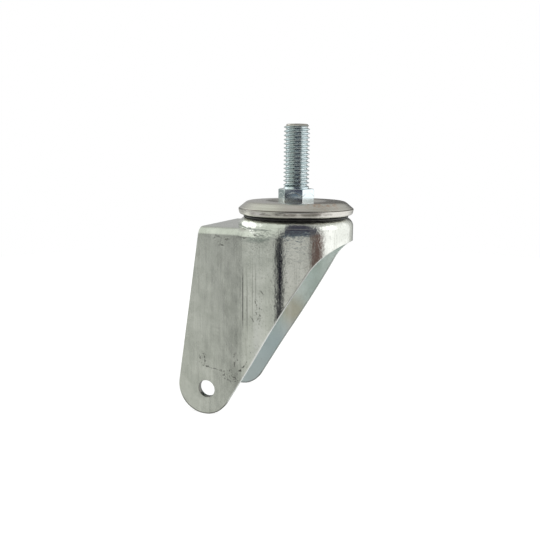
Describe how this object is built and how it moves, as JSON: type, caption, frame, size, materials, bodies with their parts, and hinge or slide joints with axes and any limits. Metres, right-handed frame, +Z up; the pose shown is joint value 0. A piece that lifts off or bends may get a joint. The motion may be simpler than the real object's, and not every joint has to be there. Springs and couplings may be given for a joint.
{
  "type": "swivel stem castor fork",
  "caption": "Swivel castor fork with a threaded stem and hexagon, a ball-race swivel head and two drilled legs that take a wheel on an axle bolt.",
  "frame": {"origin": "on the swivel axis at the top face of the stem's hexagon, the face that bears on the furniture", "axes": "+Z up the threaded stem along the swivel axis, +X to the front of the fork, the axle trails towards -X, Y along the axle"},
  "size_m": [0.0812, 0.0564, 0.1434],
  "materials": {
    "stem_zinc": "bright bluish zinc plate",
    "cap_steel": "zinc plate with a warm grey tint and turning marks",
    "fork_zinc": "bright zinc plate, lightly scratched",
    "race_zinc": "zinc plate",
    "ball_steel": "polished bearing steel, greased",
    "seal_rubber": "matte black rubber"
  },
  "bodies": {
    "stem": {"threaded_stem": "stem_zinc", "top_cap": "cap_steel", "dust_seal": "seal_rubber", "lower_race": "race_zinc"},
    "fork": {"fork": "fork_zinc"},
    "upper_balls": {"upper_ball_01": "ball_steel", "upper_ball_02": "ball_steel", "upper_ball_03": "ball_steel", "upper_ball_04": "ball_steel", "upper_ball_05": "ball_steel", "upper_ball_06": "ball_steel", "upper_ball_07": "ball_steel", "upper_ball_08": "ball_steel", "upper_ball_09": "ball_steel"},
    "lower_balls": {"lower_ball_01": "ball_steel", "lower_ball_02": "ball_steel", "lower_ball_03": "ball_steel", "lower_ball_04": "ball_steel", "lower_ball_05": "ball_steel", "lower_ball_06": "ball_steel", "lower_ball_07": "ball_steel"}
  },
  "joints": [
    {"name": "fork_swivel", "type": "hinge", "parent": "stem", "child": "fork", "pos_m": [0, 0, -0.0161], "axis": [0, 0, 1], "continuous": true},
    {"name": "upper_ball_orbit", "type": "hinge", "parent": "stem", "child": "upper_balls", "pos_m": [0, 0, -0.01167], "axis": [0, 0, 1], "continuous": true},
    {"name": "lower_ball_orbit", "type": "hinge", "parent": "stem", "child": "lower_balls", "pos_m": [0, 0, -0.01942], "axis": [0, 0, 1], "continuous": true}
  ],
  "couplings": [
    {"joint": "upper_ball_orbit", "follows": "fork_swivel", "ratio": 0.5},
    {"joint": "lower_ball_orbit", "follows": "fork_swivel", "ratio": 0.5}
  ]
}
